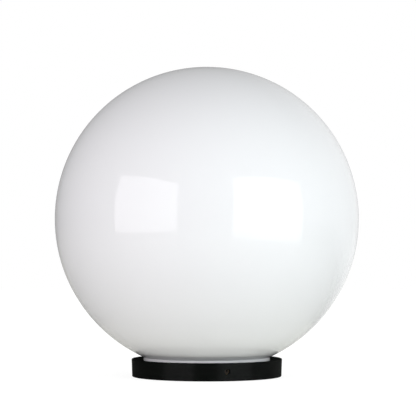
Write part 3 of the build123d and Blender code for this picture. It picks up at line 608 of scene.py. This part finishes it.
def black_moulding():
    """Black plastic, a little green, with a fine spark-eroded grain. Outside, its upright walls are satin.
    Its tops and its inside are matt. Its inside is greyer, and its tops are painted lighter, as painted
    light on faces that turn upwards."""
    material = grained("black_moulding", dark=(0.0003, 0.0008, 0.0006), light=(0.0008, 0.0018, 0.0014),
                       roughness=(0.5, 0.6), patches=60, grain=2500, relief=0.00002, specular=0.0)
    tree = material.node_tree
    shader = tree.nodes["Principled BSDF"]
    walls = shader.inputs["Base Color"].links[0].from_socket
    reach = length_of(tree, object_place(tree, (1, 1, 0)))
    rise = split_axes(tree, add_node(tree, "ShaderNodeNewGeometry").outputs["Normal"])["Z"]
    inside = spread(tree, reach, 1.0, 0.0, BASE_INSIDE - BASE_INSIDE_BLUR, BASE_INSIDE)
    # Greyer inside the mouth, and painted light on faces that turn upwards
    grey_inside_and_lit_tops = add_node(tree, "ShaderNodeMath", operation="MAXIMUM")
    tree.links.new(inside, grey_inside_and_lit_tops.inputs[0])
    tree.links.new(spread(tree, rise, 0.0, 1.0, *MOULDING_TOP_LIGHT_RISE), grey_inside_and_lit_tops.inputs[1])
    color = add_node(tree, "ShaderNodeMix", {"B": (*MOULDING_GREY_AND_TOP_LIGHT, 1.0)}, data_type="RGBA")
    tree.links.new(grey_inside_and_lit_tops.outputs["Value"], color.inputs["Factor"])
    tree.links.new(walls, color.inputs["A"])
    tree.links.new(color.outputs["Result"], shader.inputs["Base Color"])
    shader.inputs["Coat Roughness"].default_value = MOULDING_COAT_ROUGHNESS
    shader.inputs["Coat IOR"].default_value = MOULDING_COAT_IOR
    tree.links.new(spread(tree, rise, *MOULDING_COAT, *MOULDING_COAT_RISE), shader.inputs["Coat Weight"])
    return material


def seal_rubber():
    """Matt black rubber with a dusty bloom."""
    return grained("seal_rubber", dark=(0.009, 0.009, 0.009), light=(0.024, 0.024, 0.023),
                   roughness=(0.6, 0.78), patches=90, grain=1400, relief=0.00006)


def dark_steel():
    """Black phosphate on steel, browned by a little rust."""
    return grained("dark_steel", dark=(0.045, 0.039, 0.033), light=(0.17, 0.135, 0.10),
                   roughness=(0.66, 0.5), patches=420, grain=3000, relief=0.00001,
                   metallic=0.3, specular=0.3)


def turned_brass():
    return grained("turned_brass", dark=(0.50, 0.31, 0.11), light=(0.80, 0.57, 0.25),
                   roughness=(0.42, 0.22), patches=160, grain=1.0, relief=0.00001,
                   stretch=(300, 300, 4000), metallic=1.0)


def zinc_plate():
    """Bright zinc with a bluish passivated film and faint rolling lines."""
    return grained("zinc_plate", dark=(0.46, 0.51, 0.58), light=(0.72, 0.71, 0.68),
                   roughness=(0.52, 0.36), patches=140, grain=1.0, relief=0.00001,
                   stretch=(2600, 200, 700), metallic=1.0)


def tinned_copper():
    return grained("tinned_copper", dark=(0.52, 0.52, 0.50), light=(0.74, 0.74, 0.71),
                   roughness=(0.48, 0.28), patches=260, grain=1.0, relief=0.00001,
                   stretch=(900, 300, 3000), metallic=1.0)


def phenolic():
    """Black-brown phenolic moulding, glossier where the mould was polished."""
    return grained("phenolic", dark=(0.007, 0.0058, 0.005), light=(0.018, 0.0145, 0.012),
                   roughness=(0.26, 0.42), patches=120, grain=1500, relief=0.00002)


def porcelain():
    """Unglazed white porcelain with small grey specks."""
    material, tree, shader = start_material("porcelain", (0.81, 0.79, 0.74), 0.55)
    place = object_place(tree)
    specks = [(0.27, (0.50, 0.47, 0.42)), (0.33, (0.78, 0.76, 0.70)), (0.75, (0.84, 0.82, 0.77))]
    tree.links.new(ramp(tree, noise(tree, place, 900.0), specks), shader.inputs["Base Color"])
    tree.links.new(spread(tree, noise(tree, place, 150.0), 0.48, 0.66), shader.inputs["Roughness"])
    bump(tree, shader, noise(tree, place, 1600.0, GRAIN_DETAIL), distance=0.00004)
    return material


def nylon():
    """Natural nylon, slightly translucent and yellowed in its thick places."""
    material = grained("nylon", dark=(0.72, 0.71, 0.63), light=(0.82, 0.82, 0.77),
                       roughness=(0.36, 0.5), patches=110, grain=1800, relief=0.00002)
    return scatter(material, weight=0.2, radius=(0.002, 0.002, 0.0015))


def insulation(name, color):
    """Soft plastic insulation in one colour, darker in patches."""
    dark = tuple(0.72 * level for level in color)
    return grained(name, dark, color, roughness=(0.36, 0.52), patches=300, grain=2200, relief=0.00002)


def striped_insulation():
    """Green and yellow earth insulation."""
    material, tree, shader = start_material("earth_insulation", (0.03, 0.22, 0.04), 0.45)
    place = object_place(tree)
    bands = add_node(tree, "ShaderNodeTexWave", {"Scale": 150.0, "Distortion": 0.0},
                     bands_direction="DIAGONAL")
    tree.links.new(place, bands.inputs["Vector"])
    stripes = [(0.50, (0.02, 0.20, 0.035)), (0.54, (0.72, 0.52, 0.02))]
    tree.links.new(ramp(tree, bands.outputs["Fac"], stripes), shader.inputs["Base Color"])
    tree.links.new(spread(tree, noise(tree, place, 300.0), 0.36, 0.52), shader.inputs["Roughness"])
    bump(tree, shader, noise(tree, place, 2200.0, GRAIN_DETAIL), distance=0.00002)
    return material


def lamp_cap_metal():
    """Nickel plate with fine lines round the cap."""
    return grained("lamp_cap_metal", dark=(0.55, 0.54, 0.52), light=(0.76, 0.76, 0.75),
                   roughness=(0.36, 0.18), patches=180, grain=1.0, relief=0.000008,
                   stretch=(60, 60, 5000), metallic=1.0)


def cap_glass():
    """The black glass that parts the lamp's tip from its cap."""
    return grained("cap_glass", dark=(0.005, 0.005, 0.007), light=(0.014, 0.014, 0.018),
                   roughness=(0.08, 0.2), patches=420, grain=500, relief=0.00002)


def white_housing():
    """Satin white plastic."""
    return grained("white_housing", dark=(0.77, 0.77, 0.74), light=(0.84, 0.84, 0.82),
                   roughness=(0.34, 0.48), patches=70, grain=2400, relief=0.00002)


def circuit_board():
    """White solder mask, with ring-shaped tracks that show through."""
    material, tree, shader = start_material("circuit_board", (0.80, 0.82, 0.80), 0.35)
    tracks = add_node(tree, "ShaderNodeMath", {1: BOARD_TRACK_STEP}, operation="PINGPONG")
    tree.links.new(length_of(tree, object_place(tree, (1, 1, 0))), tracks.inputs[0])
    edge = spread(tree, tracks.outputs["Value"], 0.0, 1.0, 0.0, BOARD_TRACK_STEP)
    mask = [(0.16, (0.70, 0.75, 0.71)), (0.22, (0.81, 0.83, 0.81))]
    tree.links.new(ramp(tree, edge, mask), shader.inputs["Base Color"])
    sheen = noise(tree, object_place(tree), 300.0)
    tree.links.new(spread(tree, sheen, 0.28, 0.44), shader.inputs["Roughness"])
    bump(tree, shader, edge, distance=0.00002)
    return material


def phosphor():
    return grained("phosphor", dark=(0.74, 0.48, 0.05), light=(0.88, 0.66, 0.13),
                   roughness=(0.2, 0.36), patches=900, grain=4000, relief=0.00002)


def frosted_bulb():
    """Frosted white bulb with a fine silky grain."""
    material = grained("frosted_bulb", dark=(0.80, 0.80, 0.77), light=(0.87, 0.87, 0.85),
                       roughness=(0.44, 0.6), patches=45, grain=1600, relief=0.00003)
    return scatter(material, weight=0.25, radius=(0.004, 0.004, 0.0035))


def dress_nodes():
    dress(black_moulding(), "gallery_base")
    dress(seal_rubber(), "neck_gasket", "cable_grommet")
    dress(turned_brass(), "globe_screw_inserts", "post_screw_inserts", "terminal_sleeves",
          "holder_screw_shell", "holder_centre_contact")
    dress(zinc_plate(), "lamp_bracket", "bracket_washers", "bracket_screws", "holder_nipple",
          "nipple_locknut", "terminal_screws", "terminal_block_screws", "earth_screw", "earth_nut")
    dress(tinned_copper(), "earth_lug")
    dress(phenolic(), "holder_dome", "holder_shell")
    dress(porcelain(), "holder_core")
    dress(nylon(), "terminal_block")
    dress(insulation("live_insulation", (0.16, 0.055, 0.022)), "live_wire")
    dress(insulation("neutral_insulation", (0.022, 0.10, 0.42)), "neutral_wire")
    dress(striped_insulation(), "earth_wire")
    dress(cap_glass(), "lamp_insulator")
    dress(white_housing(), "lamp_housing")
    dress(circuit_board(), "lamp_led_board")
    dress(phosphor(), "lamp_led_chips")
    dress(frosted_bulb(), "lamp_diffuser")


add_camera()
add_softboxes()
add_fills()
add_world()
add_floor()
add_globe()
add_grub_screws()
add_lamp_cap()
dress_nodes()
